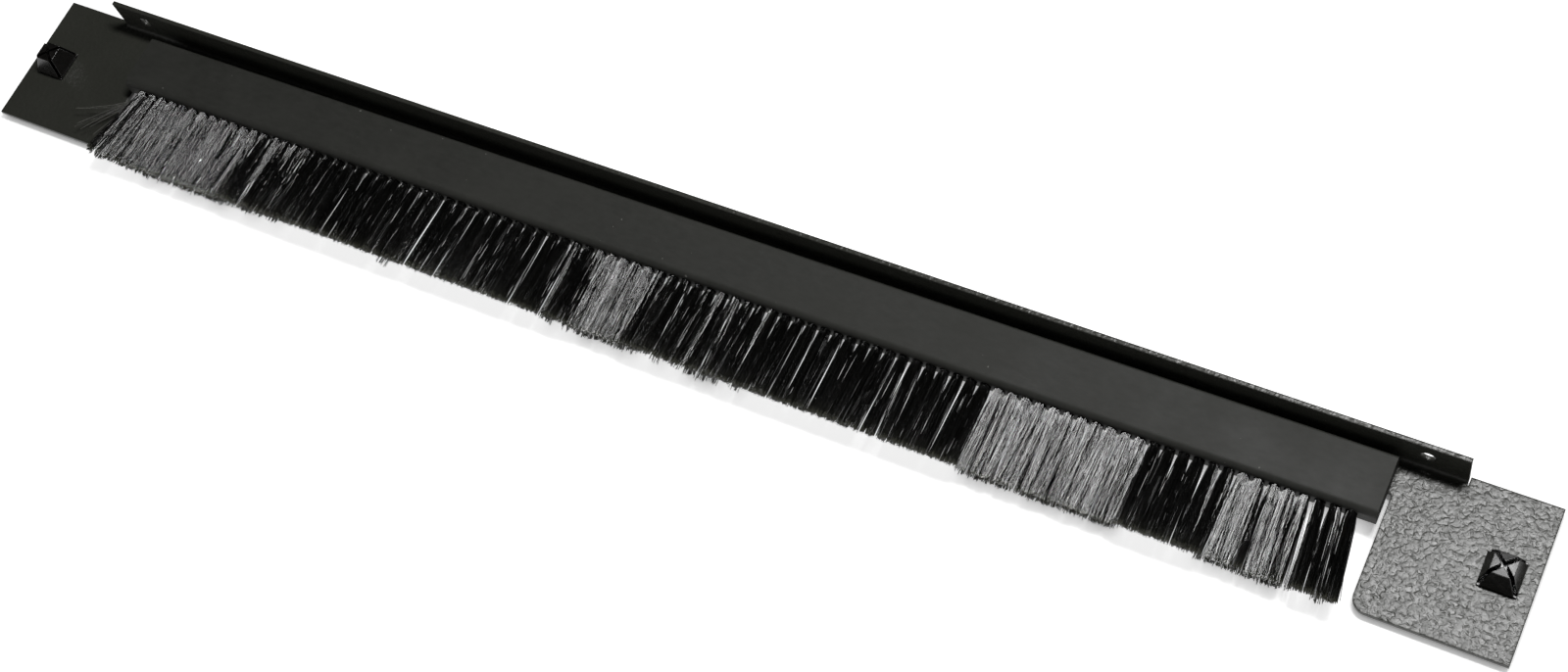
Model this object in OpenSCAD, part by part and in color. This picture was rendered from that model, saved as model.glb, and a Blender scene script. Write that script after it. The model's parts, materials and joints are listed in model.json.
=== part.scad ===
// Rack brush strip panel, 19-inch, one height unit.
// It lies on its front face, as it would come to rest: rear face up, the stiffening flange along +Y
// and the brush reaching towards -Y. X is the length. The origin is under the middle of the whole
// part, on the surface that the plug caps rest on.

/* [Panel] */
// Overall width of the front panel
panel_w = 482.6; // [470:0.1:500]
// Height of the front panel
panel_h = 44; // [43:0.1:60]
// Thickness of the folded sheet
sheet_t = 1.25; // [1:0.05:2]
// Width of each full-height ear
ear_w = 40; // [36:0.5:44]
// Inside corner radius where the notch meets the back strip
notch_corner_r = 0.8; // [0.5:0.1:2]
// Radius on the lower inside corner of each ear
ear_corner_r = 4; // [2:0.5:8]

/* [Flange] */
// Height of the flange above the rear face
flange_h = 12; // [9:0.5:16]
// Distance from each end of the panel to the end of the flange
flange_inset = 23.8; // [20:0.1:30]
// Inside radius of the fold
bend_r = 1.2; // [0.8:0.1:2]
// Width of the slit that frees each end of the fold
relief_w = 0.3; // [0.2:0.05:2]
// Depth of the back strip that carries the brush, measured from the flange's outer face
strip_d = 11.3; // [10.5:0.1:14]
// Diameter of the hole near each end of the flange
flange_hole_d = 4; // [3:0.1:5]
// Distance from the end of the flange to its hole
flange_hole_inset = 10.7; // [8:0.1:16]
// Height of the flange holes above the rear face
flange_hole_z = 6.5; // [5:0.1:8]

/* [Brush holder] */
// Gap between each end of the brush holder and the ear beside it
holder_end_gap = 0.9; // [0.5:0.1:6]
// Width of the brush holder across its broad face
holder_w = 17.5; // [16:0.1:19]
// Thickness of the brush holder
holder_t = 6.4; // [5.5:0.1:8]
// Radius along the holder's top edge over the tufts
holder_front_r = 2; // [1:0.1:2.4]
// Radius along the holder's other edges
holder_edge_r = 0.9; // [0.4:0.1:1.2]
// Space left between the holder and the flange at mid-length
holder_gap = 3.5; // [2.6:0.1:4]
// How far the strip was laid out of line with the flange, in degrees
strip_skew = 0.3; // [0:0.05:0.35]
// Thickness of the adhesive tape under the holder
tape_t = 0.8; // [0.5:0.1:1.2]
// Width of the adhesive tape
tape_w = 4.8; // [3:0.1:5]
// Margin between the tape and the holder's edges
tape_margin = 0.5; // [0.3:0.1:1]

/* [Tufts] */
// Diameter of a tuft where it leaves its hole
tuft_d = 3; // [2.4:0.1:3.2]
// Diameter of a tuft at its tip, where the bristles have spread
tuft_tip_d = 3.8; // [3.2:0.1:3.9]
// Spacing of the tufts along the holder
tuft_pitch = 4; // [4:0.1:6]
// Free length of the bristles
bristle_l = 25; // [15:0.5:32]
// Depth of the tuft holes
tuft_depth = 6; // [5:0.1:7]
// Least distance from the end of the holder to the first tuft
tuft_end = 6; // [4:0.5:10]
// Radial clearance of a tuft in its hole
tuft_fit = 0.05; // [0.02:0.01:0.1]
// Thickness of the flat anchor wire
anchor_t = 0.4; // [0.3:0.05:0.6]
// Width of the anchor wire along the hole
anchor_w = 1.8; // [1.4:0.1:2.2]

/* [Plugs] */
// Distance from each end of the panel to its plug
plug_inset = 8.75; // [8.5:0.05:12]
// Side of the square hole in each ear
plug_hole = 9.5; // [9:0.1:10]
// Clearance around the plug's neck in the square hole
plug_fit = 0.1; // [0.05:0.05:0.2]
// Width over the snap lips
lip_w = 9.9; // [9.8:0.1:10.4]
// Width of the plug's nose below its point
nose_w = 6.2; // [5.5:0.1:7]
// Height of the plug above the rear face, without its point
plug_h = 7.2; // [6:0.1:9]
// Height of the low point on the nose
nose_point = 0.3; // [0.3:0.1:1]
// Width of the crossed slots that part the four legs
leg_slot = 1; // [0.7:0.1:1.4]
// Diameter of the plug's cap on the front face
cap_d = 16; // [14:0.5:17]
// Thickness of the cap, which the part rests on
cap_t = 1.6; // [1.4:0.1:2]
// Diameter of the drive pin
pin_d = 3.6; // [3:0.1:4]
// Diameter of the drive pin's head
pin_head_d = 8; // [7:0.1:9]
// Thickness of the drive pin's head
pin_head_t = 0.9; // [0.6:0.1:1]
// Radial clearance of the drive pin in the plug
pin_fit = 0.1; // [0.05:0.05:0.2]

/* [Hidden] */
$fn = 48;
tuft_groups = 14;                 // the tufts are shared out over this many nodes
TUFT_NODES = [for (g = [1:tuft_groups]) str("tufts_", g < 10 ? "0" : "", g)];

over = 1;                         // how far a cutter runs past the face it cuts
notch_w = panel_w - 2 * ear_w;
notch_h = panel_h - strip_d;
flange_l = panel_w - 2 * flange_inset;
bend_out_r = bend_r + sheet_t;
fold_y = panel_h - bend_out_r;    // the flat sheet ends here and the fold begins
plug_x = panel_w / 2 - plug_inset;
plug_y = panel_h / 2;

// The brush has its own frame: its origin is at mid-length on the holder's lower front edge,
// X runs along the holder, and the tufts leave along -Y.
holder_l = notch_w - 2 * holder_end_gap;
brush_y = panel_h - sheet_t - holder_gap - holder_w;
tuft_z = holder_t / 2;
tuft_count = floor((holder_l - 2 * tuft_end) / tuft_pitch + 0.001) + 1;
first_tuft_x = -(tuft_count - 1) * tuft_pitch / 2;
hole_r = tuft_d / 2 + tuft_fit;
anchor_gap = 0.05;                // clearance between the anchor and the bristles looped over it
anchor_y = tuft_depth - 0.8 - anchor_w;

// The pin's tip stops short of the nose, and the slots stop short of the rear face.
pin_tip_z = plug_h - 2;
slot_floor_z = 0.6;
lip_low_z = 0.1;
lip_top_z = 1.2;
lip_chamfer = 0.3;

// The tufts' lowest corner and the flange's outer face bound the part across its width.
tip_y = brush_y - bristle_l * cos(strip_skew) - (tuft_tip_d / 2 - first_tuft_x) * sin(strip_skew);
mid_y = (tip_y + panel_h) / 2;
rear_z = cap_t + sheet_t;

// Panel frame to part frame: panel drawings have y = 0 on the ears' free edge and z = 0 on the rear face.
module in_place() {
    translate([0, -mid_y, rear_z]) children();
}

module along_brush() {
    in_place()
        translate([0, brush_y, tape_t])
            rotate([0, 0, strip_skew])
                children();
}

// A drawing in Y and Z, drawn out along X and centred on it.
module bar(length) {
    rotate([90, 0, 90])
        linear_extrude(length, center = true)
            children();
}

// What a fillet of radius r takes off, or puts in, at a square corner that points to -X and -Y.
module corner_fillet(r) {
    difference() {
        square(r);
        translate([r, r]) circle(r);
    }
}

module notch_outline() {
    difference() {
        translate([-notch_w / 2, -over]) square([notch_w, notch_h + over]);
        for (side = [0, 1])
            mirror([side, 0])
                translate([-notch_w / 2, notch_h])
                    mirror([0, 1])
                        corner_fillet(notch_corner_r);
    }
    for (side = [0, 1])
        mirror([side, 0])
            translate([notch_w / 2, 0])
                corner_fillet(ear_corner_r);
}

// The flat sheet: two ears joined by the strip behind the brush.
module sheet_outline() {
    difference() {
        translate([-panel_w / 2, 0]) square([panel_w, panel_h]);
        notch_outline();
        translate([-flange_l / 2 - relief_w, fold_y])
            square([flange_l + 2 * relief_w, bend_out_r + over]);
        for (side = [-1, 1])
            translate([side * plug_x, plug_y])
                square(plug_hole, center = true);
    }
}

// The section of the fold and the flange, in Y and Z.
module flange_section() {
    translate([panel_h - sheet_t, bend_r]) square([sheet_t, flange_h - bend_r]);
    intersection() {
        translate([fold_y, bend_r])
            difference() {
                circle(bend_out_r);
                circle(bend_r);
            }
        translate([fold_y, -sheet_t]) square(bend_out_r);
    }
}

module panel() {
    color("dimgray")
        in_place()
            difference() {
                union() {
                    translate([0, 0, -sheet_t]) linear_extrude(sheet_t) sheet_outline();
                    bar(flange_l) flange_section();
                }
                for (side = [-1, 1])
                    translate([side * (flange_l / 2 - flange_hole_inset), panel_h + over, flange_hole_z])
                        rotate([90, 0, 0])
                            cylinder(h = sheet_t + 2 * over, d = flange_hole_d);
            }
}

module adhesive_tape() {
    color("gainsboro")
        along_brush()
            translate([-holder_l / 2 + tape_margin, holder_w - tape_margin - tape_w, -tape_t])
                cube([holder_l - 2 * tape_margin, tape_w, tape_t]);
}

// The holder's section, in Y and Z: a bar with rounded edges, most so over the tufts.
module holder_section() {
    difference() {
        square([holder_w, holder_t]);
        corner_fillet(holder_edge_r);
        translate([holder_w, 0]) mirror([1, 0]) corner_fillet(holder_edge_r);
        translate([holder_w, holder_t]) rotate(180) corner_fillet(holder_edge_r);
        translate([0, holder_t]) mirror([0, 1]) corner_fillet(holder_front_r);
    }
}

// Puts a copy at each tuft from number a up to but not including number b.
module at_tufts(a = 0, b = tuft_count) {
    for (i = [a:1:b - 1])
        translate([first_tuft_x + i * tuft_pitch, 0, tuft_z])
            children();
}

module brush_holder() {
    color("darkslategray")
        along_brush()
            difference() {
                bar(holder_l) holder_section();
                at_tufts()
                    rotate([90, 0, 0])
                        translate([0, 0, -tuft_depth])
                            cylinder(h = tuft_depth + over, r = hole_r, $fn = 24);
            }
}

// One bundle of bristles, looped over its anchor at the bottom of the hole and flared at the tips.
module tuft() {
    difference() {
        rotate([90, 0, 0]) {
            translate([0, 0, -tuft_depth]) cylinder(h = tuft_depth, d = tuft_d, $fn = 24);
            cylinder(h = bristle_l, d1 = tuft_d, d2 = tuft_tip_d, $fn = 24);
        }
        translate([
            -anchor_t / 2 - anchor_gap,
            anchor_y - anchor_gap,
            -tuft_d
        ])
            cube([anchor_t + 2 * anchor_gap, anchor_w + 2 * anchor_gap, 2 * tuft_d]);
    }
}

module tuft_group(g) {
    color("black")
        along_brush()
            at_tufts(
                floor(tuft_count * (g - 1) / tuft_groups),
                floor(tuft_count * g / tuft_groups)
            )
                tuft();
}

module tuft_anchors() {
    color("silver")
        along_brush()
            at_tufts()
                translate([-anchor_t / 2, anchor_y, -tuft_d / 2])
                    cube([anchor_t, anchor_w, tuft_d]);
}

// One side view of the plug's neck and legs. Crossing two of them at right angles gives the
// square neck and the four-sided nose.
module leg_profile() {
    neck = plug_hole / 2 - plug_fit;
    polygon([
        [-neck, -sheet_t - cap_t / 2],
        [neck, -sheet_t - cap_t / 2],
        [neck, lip_low_z],
        [lip_w / 2, lip_low_z + lip_chamfer],
        [lip_w / 2, lip_top_z],
        [nose_w / 2, plug_h],
        [0, plug_h + nose_point],
        [-nose_w / 2, plug_h],
        [-lip_w / 2, lip_top_z],
        [-lip_w / 2, lip_low_z + lip_chamfer],
        [-neck, lip_low_z]
    ]);
}

module plug_legs() {
    intersection() {
        bar(lip_w) leg_profile();
        rotate([0, 0, 90]) bar(lip_w) leg_profile();
    }
}

// The cap lies under the sheet, its rim rounded on the front.
module plug_cap() {
    rim_r = cap_t / 2;
    translate([0, 0, -sheet_t - cap_t])
        rotate_extrude() {
            square([cap_d / 2 - rim_r, cap_t]);
            translate([0, rim_r]) square([cap_d / 2, cap_t - rim_r]);
            translate([cap_d / 2 - rim_r, rim_r]) circle(rim_r);
        }
}

module plug(side) {
    color("black")
        in_place()
            translate([side * plug_x, plug_y, 0])
                difference() {
                    union() {
                        plug_cap();
                        plug_legs();
                    }
                    translate([0, 0, -sheet_t - cap_t - over])
                        cylinder(h = cap_t + sheet_t + over + pin_tip_z + pin_fit, r = pin_d / 2 + pin_fit);
                    translate([0, 0, -sheet_t - cap_t - over])
                        cylinder(h = over + pin_head_t, r = pin_head_d / 2 + pin_fit);
                    for (turn = [45, 135])
                        rotate([0, 0, turn])
                            translate([-lip_w, -leg_slot / 2, slot_floor_z])
                                cube([2 * lip_w, leg_slot, plug_h + nose_point]);
                }
}

module drive_pin(side) {
    color("black")
        in_place()
            translate([side * plug_x, plug_y, -sheet_t - cap_t]) {
                cylinder(h = pin_head_t, d = pin_head_d);
                cylinder(h = cap_t + sheet_t + pin_tip_z, d = pin_d);
            }
}

panel();
adhesive_tape();
brush_holder();
tuft_anchors();
for (g = [1:tuft_groups])
    tuft_group(g);
plug(-1);  // left_plug
plug(1);  // right_plug
drive_pin(-1);  // left_drive_pin
drive_pin(1);  // right_drive_pin
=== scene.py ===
import json
import math

import bpy
import numpy as np
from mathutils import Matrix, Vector


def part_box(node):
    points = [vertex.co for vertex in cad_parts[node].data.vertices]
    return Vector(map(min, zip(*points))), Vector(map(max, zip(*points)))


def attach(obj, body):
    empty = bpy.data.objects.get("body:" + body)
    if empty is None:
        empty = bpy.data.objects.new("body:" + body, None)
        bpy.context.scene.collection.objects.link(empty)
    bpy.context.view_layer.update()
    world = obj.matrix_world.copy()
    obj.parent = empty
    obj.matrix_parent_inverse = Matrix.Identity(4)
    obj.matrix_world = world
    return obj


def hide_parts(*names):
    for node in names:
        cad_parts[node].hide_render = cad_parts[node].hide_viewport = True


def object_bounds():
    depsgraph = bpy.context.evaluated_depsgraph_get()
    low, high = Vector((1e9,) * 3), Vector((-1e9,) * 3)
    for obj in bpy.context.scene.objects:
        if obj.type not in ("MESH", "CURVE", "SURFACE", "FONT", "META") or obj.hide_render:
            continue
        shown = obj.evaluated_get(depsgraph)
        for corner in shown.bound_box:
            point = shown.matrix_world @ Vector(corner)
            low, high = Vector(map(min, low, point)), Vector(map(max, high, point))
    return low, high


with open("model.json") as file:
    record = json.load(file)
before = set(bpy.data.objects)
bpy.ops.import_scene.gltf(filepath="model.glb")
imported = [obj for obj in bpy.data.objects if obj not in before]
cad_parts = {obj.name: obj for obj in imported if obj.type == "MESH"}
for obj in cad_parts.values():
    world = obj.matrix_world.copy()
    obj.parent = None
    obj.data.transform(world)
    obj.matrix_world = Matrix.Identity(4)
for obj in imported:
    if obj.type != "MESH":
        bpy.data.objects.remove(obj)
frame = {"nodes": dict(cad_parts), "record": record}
cad_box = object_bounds()
nodes = frame["nodes"]
scene = bpy.context.scene
MM = 0.001

# ---------------------------------------------------------------- places taken from the frame
mounts = {m["name"]: m for m in frame["record"]["mounts"]}
rear_z = mounts["left_ear_face"]["pos_m"][2]
panel_lo, panel_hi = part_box("panel")
holder_lo, holder_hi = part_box("brush_holder")
tuft_nodes = sorted(n for n in nodes if n.startswith("tufts_"))
TUFTS_PER_NODE = 7
TUFT_PITCH = 4 * MM
TUFT_R = 1.5 * MM
BRISTLE_L = 25 * MM
TUFT_DEPTH = 6 * MM


def middle(node):
    lo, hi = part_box(node)
    return (lo + hi) / 2


first, last = middle(tuft_nodes[0]), middle(tuft_nodes[-1])
skew = math.atan2(last.y - first.y, last.x - first.x)
ALONG = np.array([math.cos(skew), math.sin(skew), 0])
OUT = np.array([math.sin(skew), -math.cos(skew), 0])
UP = np.array([0, 0, 1.0])


# ---------------------------------------------------------------- node helpers
class Mat:
    """A material with a Principled shader, and short calls to add nodes to it."""

    def __init__(self, name, **values):
        self.mat = bpy.data.materials.new(name)
        self.mat.use_nodes = True
        self.tree = self.mat.node_tree
        self.bsdf = self.tree.nodes["Principled BSDF"]
        self.at = self.add("ShaderNodeTexCoord").outputs["Object"]
        for key, value in values.items():
            self.bsdf.inputs[key.replace("_", " ")].default_value = value

    def add(self, kind, **props):
        n = self.tree.nodes.new(kind)
        for key, value in props.items():
            setattr(n, key, value)
        return n

    def join(self, a, b):
        self.tree.links.new(a, b)

    def noise(self, scale, detail=2.0, rough=0.5, stretch=None, distortion=0.0):
        n = self.add("ShaderNodeTexNoise")
        n.inputs["Scale"].default_value = scale
        n.inputs["Detail"].default_value = detail
        n.inputs["Roughness"].default_value = rough
        n.inputs["Distortion"].default_value = distortion
        at = self.at
        if stretch:
            m = self.add("ShaderNodeMapping")
            m.inputs["Scale"].default_value = stretch
            self.join(self.at, m.inputs["Vector"])
            at = m.outputs["Vector"]
        self.join(at, n.inputs["Vector"])
        return n.outputs["Fac"]

    def ramp(self, fac, *stops):
        r = self.add("ShaderNodeValToRGB")
        r.color_ramp.elements[0].position = stops[0][0]
        r.color_ramp.elements[1].position = stops[-1][0]
        for pos, _ in stops[1:-1]:
            r.color_ramp.elements.new(pos)
        for e, (_, c) in zip(r.color_ramp.elements, stops):
            e.color = (c, c, c, 1) if isinstance(c, (int, float)) else (*c, 1)
        self.join(fac, r.inputs["Fac"])
        return r.outputs["Color"]

    def math(self, op, a, b=0.0, clamp=False):
        n = self.add("ShaderNodeMath", operation=op, use_clamp=clamp)
        for i, v in enumerate((a, b)):
            if isinstance(v, (int, float)):
                n.inputs[i].default_value = v
            else:
                self.join(v, n.inputs[i])
        return n.outputs[0]

    def mix(self, fac, a, b):
        n = self.add("ShaderNodeMix", data_type="RGBA")
        for i, v in ((0, fac), (6, a), (7, b)):
            if isinstance(v, (int, float)):
                n.inputs[i].default_value = v
            elif isinstance(v, tuple):
                n.inputs[i].default_value = (*v, 1)
            else:
                self.join(v, n.inputs[i])
        return n.outputs[2]

    def bump(self, height, depth, strength=1.0, under=None):
        n = self.add("ShaderNodeBump")
        n.inputs["Distance"].default_value = depth
        n.inputs["Strength"].default_value = strength
        self.join(height, n.inputs["Height"])
        if under is not None:
            self.join(under, n.inputs["Normal"])
        return n.outputs["Normal"]

    def round_edges(self, radius):
        n = self.add("ShaderNodeBevel", samples=6)
        n.inputs["Radius"].default_value = radius
        return n.outputs["Normal"]

    def colour(self, socket):
        self.join(socket, self.bsdf.inputs["Base Color"])

    def rough(self, socket):
        self.join(socket, self.bsdf.inputs["Roughness"])

    def normal(self, socket):
        self.join(socket, self.bsdf.inputs["Normal"])


def dress(node, material):
    o = nodes[node]
    if not o.material_slots:
        o.data.materials.append(material)
    for s in o.material_slots:
        s.material = material


# ---------------------------------------------------------------- materials
# Wrinkled black powder coat on the folded sheet.
coat = Mat("powder_coat", Specular_IOR_Level=0.5)
wrinkle = coat.noise(760, 1.2, 0.45, distortion=0.5)
pits = coat.noise(2600, 1.0, 0.5)
flow = coat.noise(210, 1.0, 0.5)
soft = coat.round_edges(0.62 * MM)
n1 = coat.bump(flow, 0.10 * MM, 1.0, soft)
n2 = coat.bump(wrinkle, 0.22 * MM, 1.0, n1)
coat.normal(coat.bump(pits, 0.012 * MM, 1.0, n2))
tone = coat.noise(60, 3.0, 0.6)
coat.colour(coat.ramp(tone, (0.3, (0.0370, 0.0380, 0.0315)), (0.7, (0.0425, 0.0435, 0.0365))))
coat.rough(coat.ramp(wrinkle, (0.3, 0.30), (0.7, 0.38)))

# Satin moulded bar with a fine grain, a few rubs and specks.
bar = Mat("holder_plastic", Specular_IOR_Level=0.5)
cloud = bar.noise(38, 4.0, 0.62)
grain = bar.noise(5200, 1.0, 0.5)
waves = bar.noise(160, 2.0, 0.5, stretch=(0.12, 1.0, 1.0))
base = bar.ramp(cloud, (0.30, (0.0130, 0.0137, 0.0105)), (0.70, (0.0245, 0.0250, 0.0205)))
mealy = bar.ramp(bar.noise(620, 3.0, 0.65, stretch=(0.5, 1.0, 1.0)), (0.3, 0.0), (0.72, 0.5))
base = bar.mix(mealy, base, (0.034, 0.034, 0.030))
rub = bar.ramp(bar.noise(95, 5.0, 0.75, stretch=(0.35, 1.0, 1.0)), (0.63, 0.0), (0.76, 0.55))
base = bar.mix(rub, base, (0.042, 0.041, 0.038))
speck = bar.ramp(bar.noise(700, 0.0, 0.5), (0.855, 0.0), (0.875, 1.0))
base = bar.mix(speck, base, (0.13, 0.13, 0.12))
bar.colour(base)
bar.rough(bar.ramp(cloud, (0.3, 0.59), (0.7, 0.73)))
bar.normal(bar.bump(waves, 0.05 * MM, 0.6, bar.bump(grain, 0.012 * MM, 0.7)))

# Glossy black bristle; the cut ends are paler. Loose bristles carry a tint value above the plain range,
# which ramps them paler: a painted highlight for the light they catch.
PAINTED_HIGHLIGHT_FROM = 0.8
hair = Mat("bristle", Specular_IOR_Level=0.72, IOR=1.53)
tone_and_painted_highlight = hair.add("ShaderNodeAttribute", attribute_name="tone_and_painted_highlight").outputs["Fac"]
tip = hair.add("ShaderNodeAttribute", attribute_name="tip").outputs["Fac"]
mottle = hair.noise(1400, 2.0, 0.6)
black_and_painted_highlight = hair.ramp(
    tone_and_painted_highlight,
    (0.0, (0.002, 0.002, 0.002)),
    (PAINTED_HIGHLIGHT_FROM, (0.004, 0.004, 0.0035)),
    (1.0, (0.26, 0.26, 0.235)),
)
black_and_painted_highlight = hair.mix(hair.math("MULTIPLY", mottle, 0.2), black_and_painted_highlight, (0.008, 0.008, 0.007))
hair.colour(hair.mix(tip, black_and_painted_highlight, (0.075, 0.076, 0.058)))
hair.rough(hair.ramp(tone_and_painted_highlight, (0.0, 0.07), (PAINTED_HIGHLIGHT_FROM, 0.11), (1.0, 0.35)))
hair.normal(hair.bump(mottle, 0.0015 * MM, 0.4))

# Glossy black nylon of the plugs and their pins.
nylon = Mat("plug_plastic", Specular_IOR_Level=0.5)
cast = nylon.noise(420, 2.0, 0.5)
nylon.colour(nylon.ramp(cast, (0.35, (0.006, 0.0055, 0.005)), (0.7, (0.010, 0.009, 0.0085))))
nylon.rough(nylon.ramp(cast, (0.3, 0.22), (0.7, 0.30)))
nylon.normal(nylon.bump(cast, 0.03 * MM, 0.6, nylon.round_edges(0.32 * MM)))

# Pale foam tape between the holder and the sheet.
foam = Mat("tape", Roughness=0.85)
cell = foam.noise(3200, 2.0, 0.6)
foam.colour(foam.ramp(cell, (0.3, (0.36, 0.36, 0.34)), (0.7, (0.5, 0.5, 0.47))))
foam.normal(foam.bump(cell, 0.06 * MM, 0.8))

# Bright flat wire that anchors each tuft.
wire = Mat("anchor_wire", Metallic=1.0)
drawn = wire.noise(2400, 2.0, 0.6, stretch=(1.0, 1.0, 0.1))
wire.colour(wire.ramp(drawn, (0.3, (0.46, 0.45, 0.42)), (0.7, (0.62, 0.60, 0.56))))
wire.rough(wire.ramp(drawn, (0.3, 0.28), (0.7, 0.42)))
wire.normal(wire.bump(drawn, 0.01 * MM, 0.5))

dress("panel", coat.mat)
dress("brush_holder", bar.mat)
dress("adhesive_tape", foam.mat)
dress("tuft_anchors", wire.mat)
for name in ("left_plug", "right_plug", "left_drive_pin", "right_drive_pin"):
    dress(name, nylon.mat)


# ---------------------------------------------------------------- bristles
rng = np.random.default_rng(41)
PER_TUFT = 92
HAIR_R = 0.13 * MM
SIDES = 3
LOCKS = 6
# Slopes, in rise over run, on top of the slope that mirrors the lamp: locks that lie flat shine, and
# locks that stand up look black. The first pair is for a tuft's upper bristles, the second for the lower.
STAND_FLAT, STAND_UP = -0.010, 0.084
LOW_FLAT, LOW_UP = -0.060, 0.078
ROOT_RISE = 0.09
LOW_FLARE = 0.26
ROOT_BEND = 1.9 * MM
FLARE_BEND = 2.6 * MM
SPREAD_BEND = 1.8 * MM
STAND_CALM = 0.4
CLUMP_X = -84 * MM                                      # a few bristles reach past the tips here
FINE_STEPS = 40
TIP_FROM = 0.94
STATIONS = np.array([-1.6, 0.6, 2.0, 4.2, 8.5, 14.5, 20.5, 23.7, 25.0]) * MM


def smooth_noise(x, length, seed):
    """A smooth random curve along the strip, about -1 to 1."""
    r = np.random.default_rng(seed)
    knots = r.uniform(-1, 1, 64)
    t = (x + 0.25) / length
    i = np.floor(t).astype(int) % 60
    f = t - np.floor(t)
    f = f * f * (3 - 2 * f)
    return knots[i] * (1 - f) + knots[i + 1] * f


def hump(x, a, b, edge):
    return 1 / (1 + np.exp(-(x - a) / edge)) / (1 + np.exp((x - b) / edge))


def ease(x, a, b):
    t = min(max((x - a) / (b - a), 0), 1)
    return t * t * (3 - 2 * t)


def flat_share(x):
    """The share of the locks near x that lie flat; the others stand up a little."""
    combed = (
        hump(x, -0.200, -0.1535, 0.0015)
        + hump(x, -0.0245, -0.004, 0.001)
        + hump(x, 0.0965, 0.1405, 0.001)
        + 0.9 * hump(x, 0.1645, 0.1815, 0.0015)
    )
    ruffled = (
        hump(x, -0.153, -0.132, 0.002)
        + 0.6 * hump(x, -0.036, -0.025, 0.001)
        + hump(x, -0.003, 0.033, 0.001)
        + 0.6 * hump(x, 0.158, 0.1645, 0.001)
        + 0.9 * hump(x, 0.1815, 0.192, 0.001)
    )
    return min(combed, 1) + 0.30 * ruffled


def lean(x):
    """How far the tufts near x lean along the strip: both ends spread outwards."""
    return 0.09 * ease(x, 0.160, 0.196) - 0.12 * ease(-x, 0.176, 0.196)


def tuft(centre):
    """The bristles of one tuft: points (bristle, station, 3), with a tint for each."""
    n = PER_TUFT
    x = centre[0]
    share = flat_share(x)
    r = TUFT_R * 0.93 * np.sqrt(rng.random(n))
    a = rng.random(n) * 2 * math.pi
    u0, v0 = r * np.cos(a), r * np.sin(a)
    low = 0.5 - 0.5 * v0 / TUFT_R
    lock = np.clip((u0 / TUFT_R + 1) / 2 * LOCKS + rng.normal(0, 0.25, n), 0, LOCKS - 1).astype(int)
    flat = rng.random(LOCKS) < share
    top = v0 > -0.1 * TUFT_R
    lone = top & (rng.random(n) < 0.0010 + 0.08 * share * (1 - min(share, 1)))
    lies = lone | flat[lock]
    calm = np.where(flat[lock], 1.0, STAND_CALM)
    lock_u = rng.normal(0, 0.024, LOCKS)[lock]
    lock_v = rng.normal(0, 0.022, LOCKS)[lock] * np.where(lies, 1, 0.3)
    slope_u = lean(x) + 0.012 * smooth_noise(np.array([x]), 0.03, 7)[0] + rng.normal(0, 0.010)
    slope_u = slope_u + calm * np.where(top, lock_u + rng.normal(0, 0.012, n), rng.normal(0, 0.032, n))
    lie = -0.004 - 0.06 * x - 0.55 * min(lean(x), 0)
    slope_v = np.where(top, np.where(lies, STAND_FLAT, STAND_UP), np.where(flat[lock], LOW_FLAT, LOW_UP))
    slope_v = lie + slope_v + lock_v + rng.normal(0, 1, n) * np.where(lies, 0.022, 0.006)
    crest = np.exp(-((u0 / (0.22 * TUFT_R)) ** 2)) * (v0 > 0.25 * TUFT_R)
    crest = crest * (0.3 + 0.7 * ease(x, -0.08, -0.01))
    root_v = lie + np.where(flat[lock], 0, ROOT_RISE * (1 - crest)) + rng.normal(0, 0.006, n)
    flare = 0.02 * np.maximum(v0, 0) / TUFT_R
    flare = flare + np.where(flat[lock], LOW_FLARE, 0) * np.minimum(v0, 0) / TUFT_R
    bow_u = rng.normal(0, 0.26 * MM, n) * calm
    bow_v = rng.normal(0, 0.09 * MM, n) * calm * np.where(lone, 4, 1)
    long = 1 + np.clip(rng.normal(-0.012, 0.010, n), -0.045, 0.006)
    d = STATIONS[None, :] * long[:, None]
    free = np.maximum(d, 0)
    t = free / BRISTLE_L
    open_up = 1 - np.exp(-free / SPREAD_BEND)
    u = u0[:, None] * (1 + (0.05 + 0.8 * low[:, None] ** 1.5) * open_up + 0.30 * t)
    u += slope_u[:, None] * free
    u += bow_u[:, None] * 4 * t * (1 - t)
    v = v0[:, None] + slope_v[:, None] * free
    v += (root_v - slope_v)[:, None] * ROOT_BEND * (1 - np.exp(-free / ROOT_BEND))
    v += flare[:, None] * FLARE_BEND * (1 - np.exp(-free / FLARE_BEND))
    v += bow_v[:, None] * 4 * t * (1 - t)
    p = centre[None, None, :] + u[..., None] * ALONG + d[..., None] * OUT + v[..., None] * UP
    return p, 0.75 * rng.random(n)


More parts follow.
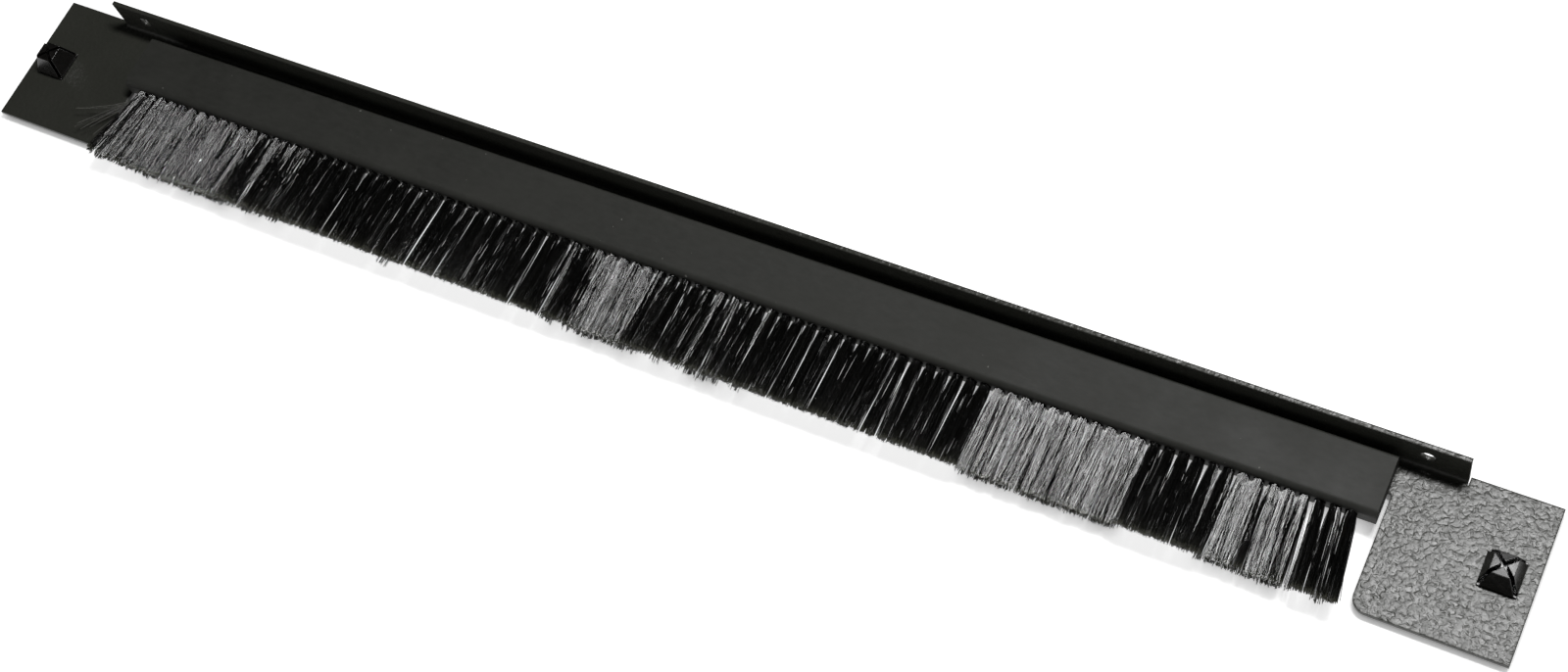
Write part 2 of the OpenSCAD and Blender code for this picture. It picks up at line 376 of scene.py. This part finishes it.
def strays(centre, count, turn, fall, reach, pale=1.0):
    """Loose bristles that turn along the strip by an angle in turn (radians) and sink by up to fall;
    reach is their length against BRISTLE_L, and pale scales their tint. At pale 1 the tint lies above the
    plain range, so they are painted paler as a highlight."""
    r = TUFT_R * 0.9 * np.sqrt(rng.random(count))
    a = rng.random(count) * 2 * math.pi
    ang = turn[0] + (turn[1] - turn[0]) * rng.random(count)
    bend = 1.5 * MM + 4 * MM * rng.random(count)
    length = BRISTLE_L * (reach[0] + (reach[1] - reach[0]) * rng.random(count))
    drop = fall * (0.4 + 0.6 * rng.random(count))
    s = STATIONS / BRISTLE_L
    fine = np.linspace(0, 1, FINE_STEPS + 1)
    paths = []
    for i in range(count):
        heading = ang[i] * (1 - np.exp(-fine * length[i] / bend[i]))
        step = length[i] / FINE_STEPS
        du = np.concatenate([[0], np.cumsum(np.sin(heading[:-1]) * step)])
        dd = np.concatenate([[0], np.cumsum(np.cos(heading[:-1]) * step)])
        at = np.maximum(s, 0)
        u = r[i] * math.cos(a[i]) + np.interp(at, fine, du)
        d = np.interp(at, fine, dd) + np.minimum(STATIONS, 0)
        v = r[i] * math.sin(a[i]) - drop[i] * at**1.5
        paths.append(centre + u[:, None] * ALONG + d[:, None] * OUT + v[:, None] * UP)
    return np.array(paths), pale * (0.85 + 0.15 * rng.random(count))


def tubes(name, points, tones_and_painted_highlights, radius):
    """One mesh of thin tubes along the given paths."""
    n, k = points.shape[:2]
    step = np.gradient(points, axis=1)
    step /= np.linalg.norm(step, axis=2, keepdims=True)
    side = np.cross(step, UP)
    side /= np.linalg.norm(side, axis=2, keepdims=True)
    top = np.cross(side, step)
    rings = []
    for j in range(SIDES):
        w = math.pi / 2 + 2 * math.pi * j / SIDES
        rings.append(points + radius * (math.cos(w) * side + math.sin(w) * top))
    verts = np.stack(rings, axis=2)                      # bristle, station, side, 3
    caps = verts[:, -1].reshape(-1, 3)                   # the cut ends have corners of their own
    index = np.arange(n * k * SIDES).reshape(n, k, SIDES)
    a, b = index[:, :-1, :], index[:, 1:, :]
    quads = np.stack([a, np.roll(a, -1, 2), np.roll(b, -1, 2), b], axis=-1).reshape(-1, 4)
    ends = index.size + np.arange(n * SIDES)
    loops = np.concatenate([quads.ravel(), ends])
    starts = np.concatenate([np.arange(len(quads)) * 4, len(quads) * 4 + np.arange(n) * SIDES])
    mesh = bpy.data.meshes.new(name)
    mesh.vertices.add(index.size + len(caps))
    corners = np.concatenate([verts.reshape(-1, 3), caps])
    mesh.vertices.foreach_set("co", corners.ravel().astype(np.float32))
    mesh.loops.add(len(loops))
    mesh.loops.foreach_set("vertex_index", loops.astype(np.int32))
    mesh.polygons.add(len(starts))
    mesh.polygons.foreach_set("loop_start", starts.astype(np.int32))
    smooth = np.ones(len(starts), bool)
    smooth[len(quads):] = False
    mesh.update(calc_edges=True)
    mesh.polygons.foreach_set("use_smooth", smooth)
    mesh.validate()
    near = np.clip((STATIONS / BRISTLE_L - TIP_FROM) / (1 - TIP_FROM), 0, 1)
    per_vertex = {
        "tone_and_painted_highlight": np.concatenate([np.repeat(tones_and_painted_highlights, k * SIDES), np.repeat(tones_and_painted_highlights, SIDES)]),
        "tip": np.concatenate([np.tile(np.repeat(near, SIDES), n), np.ones(n * SIDES)]),
    }
    for key, value in per_vertex.items():
        mesh.attributes.new(key, "FLOAT", "POINT").data.foreach_set("value", value.astype(np.float32))
    mesh.materials.append(hair.mat)
    o = bpy.data.objects.new(name, mesh)
    scene.collection.objects.link(o)
    return o


for node in tuft_nodes:
    c = np.array(middle(node))
    face = c - OUT * (BRISTLE_L - TUFT_DEPTH) / 2
    middle_tuft = (TUFTS_PER_NODE - 1) / 2
    places = [face + ALONG * TUFT_PITCH * (i - middle_tuft) for i in range(TUFTS_PER_NODE)]
    made = [tuft(place) for place in places]
    for i, place in enumerate(places):
        # Loose bristles at the left end keep pale at 1 and so get the painted highlight; those at the
        # right end and in the clump have pale 0.5 and stay black.
        if node == tuft_nodes[0] and i == 0:
            made.append(strays(place, 17, (-1.35, -0.12), 1.8 * MM, (0.7, 1.0)))
        if node == tuft_nodes[0] and i == 1:
            made.append(strays(place, 6, (-0.8, -0.1), 1.0 * MM, (0.8, 1.0)))
        if node == tuft_nodes[-1] and i == TUFTS_PER_NODE - 1:
            made.append(strays(place, 5, (0.12, 0.21), 0.6 * MM, (0.9, 1.0), 0.5))
        if abs(place[0] - CLUMP_X) < TUFT_PITCH / 2:
            made.append(strays(place, 14, (-0.17, -0.07), 1.2 * MM, (1.02, 1.06), 0.5))
    paths, tones_and_painted_highlights = [m[0] for m in made], [m[1] for m in made]
    o = tubes("bristles_" + node[-2:], np.concatenate(paths), np.concatenate(tones_and_painted_highlights), HAIR_R)
    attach(o, "root")
    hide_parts(node)

# ---------------------------------------------------------------- floor, light and camera
paper = Mat("paper", Roughness=0.9, Specular_IOR_Level=0.1)
fibre = paper.noise(300, 3.0, 0.6)
paper.colour(paper.ramp(fibre, (0.3, (0.88, 0.88, 0.875)), (0.7, (0.90, 0.90, 0.895))))
paper.normal(paper.bump(fibre, 0.02 * MM, 0.3))
# The glow whitens the paper as seen directly, in gloss or through glass, and an ambient-occlusion node
# fades it close to the object, which paints a contact shadow on the floor.
GLOW = 0.80
path = paper.add("ShaderNodeLightPath")
seen = path.outputs["Is Camera Ray"]
for ray in ("Is Glossy Ray", "Is Transmission Ray"):
    seen = paper.math("MAXIMUM", seen, path.outputs[ray])
glow = paper.add("ShaderNodeEmission")
glow.inputs["Color"].default_value = (1, 1, 1, 1)
# Ambient occlusion within 5 mm dims the glow here: a painted contact shadow.
near = paper.add("ShaderNodeAmbientOcclusion", samples=6)
near.inputs["Distance"].default_value = 5 * MM
glow_outside_painted_shadow = paper.math("MULTIPLY", seen, paper.math("POWER", near.outputs["AO"], 1.5))
paper.join(paper.math("MULTIPLY", glow_outside_painted_shadow, GLOW), glow.inputs["Strength"])
both = paper.add("ShaderNodeAddShader")
out = paper.tree.nodes["Material Output"]
paper.join(paper.bsdf.outputs[0], both.inputs[0])
paper.join(glow.outputs[0], both.inputs[1])
paper.join(both.outputs[0], out.inputs["Surface"])

half = 6.0
mesh = bpy.data.meshes.new("floor")
corners = [(-half, -half, 0), (half, -half, 0), (half, half, 0), (-half, half, 0)]
mesh.from_pydata(corners, [], [(0, 1, 2, 3)])
mesh.materials.append(paper.mat)
floor = bpy.data.objects.new("floor", mesh)
scene.collection.objects.link(floor)
floor.location.z = cad_box[0].z - 0.02 * MM

world = bpy.data.worlds.new("studio")
scene.world = world
world.use_nodes = True
wt = world.node_tree
back = wt.nodes["Background"]
back.inputs["Color"].default_value = (1, 1, 1, 1)


def world_node(kind, **values):
    n = wt.nodes.new(kind)
    for key, value in values.items():
        n.inputs[key.replace("_", " ")].default_value = value
    return n


# A white paper cove on the near side, dim elsewhere, under a dim ceiling.
where = wt.nodes.new("ShaderNodeTexCoord")
split = wt.nodes.new("ShaderNodeSeparateXYZ")
height = world_node("ShaderNodeMapRange", From_Min=0.35, From_Max=0.75, To_Min=1.0, To_Max=0.04)
side = world_node("ShaderNodeMapRange", From_Min=-0.25, From_Max=0.02, To_Min=0.36, To_Max=0.05)
cove = wt.nodes.new("ShaderNodeMath")
cove.operation = "MULTIPLY"
lp = wt.nodes.new("ShaderNodeLightPath")
level = wt.nodes.new("ShaderNodeMix")
level.inputs[3].default_value = 1.0
wt.links.new(where.outputs["Generated"], split.inputs[0])
for axis, ramp in (("Z", height), ("Y", side)):
    ramp.interpolation_type = "SMOOTHSTEP"
    wt.links.new(split.outputs[axis], ramp.inputs["Value"])
wt.links.new(height.outputs["Result"], cove.inputs[0])
wt.links.new(side.outputs["Result"], cove.inputs[1])
wt.links.new(lp.outputs["Is Camera Ray"], level.inputs[0])
wt.links.new(cove.outputs[0], level.inputs[2])
wt.links.new(level.outputs[0], back.inputs["Strength"])


def softbox(name, place, target, w, h, radiance):
    data = bpy.data.lights.new(name, "AREA")
    data.shape = "RECTANGLE"
    data.size, data.size_y = w, h
    data.energy = radiance * math.pi * w * h
    o = bpy.data.objects.new(name, data)
    o.location = place
    o.rotation_mode = "QUATERNION"
    o.rotation_quaternion = (Vector(target) - Vector(place)).to_track_quat("-Z", "Y")
    scene.collection.objects.link(o)


# A strip softbox over the far right.
softbox("key", (0.24, 0.285, 0.93), (0.19, 0.0, 0.0), 0.40, 0.13, 44.0)

cam = bpy.data.cameras.new("camera")
cam.sensor_width = 36
cam.lens = 52.5214
cam.shift_x, cam.shift_y = 0.0382, -0.0409
cam.clip_start, cam.clip_end = 0.01, 20
camera = bpy.data.objects.new("camera", cam)
camera.rotation_mode = "QUATERNION"
camera.location = (0.25319, -0.20936, 0.56519)
camera.rotation_quaternion = (0.945241, 0.210274, 0.154632, 0.195944)
scene.collection.objects.link(camera)
scene.camera = camera

scene.view_settings.view_transform = "Standard"
